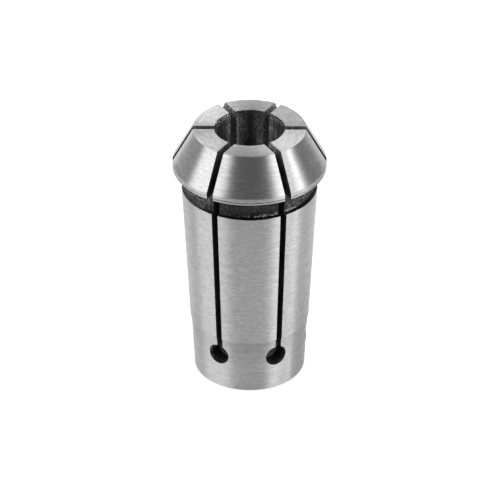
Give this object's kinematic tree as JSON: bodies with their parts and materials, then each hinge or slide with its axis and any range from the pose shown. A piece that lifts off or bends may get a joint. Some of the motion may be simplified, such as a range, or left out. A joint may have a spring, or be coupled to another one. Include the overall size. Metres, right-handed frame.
{
  "type": "spring collet",
  "caption": "Conical spring collet for a round tool shank, with a coned nose, an extraction groove, and saw cuts that end in round relief holes.",
  "frame": {"origin": "centre of the foot's end face", "axes": "+Z along the collet's axis towards the nose, +X through the middle of one saw cut, -Y through the middle of one jaw"},
  "size_m": [0.0238, 0.0238, 0.043],
  "materials": {
    "collet_steel": "ground bright, with dark heat-treatment scale in the bores, the saw cuts and the groove"
  },
  "bodies": {
    "root": {"collet": "collet_steel"}
  },
  "joints": []
}
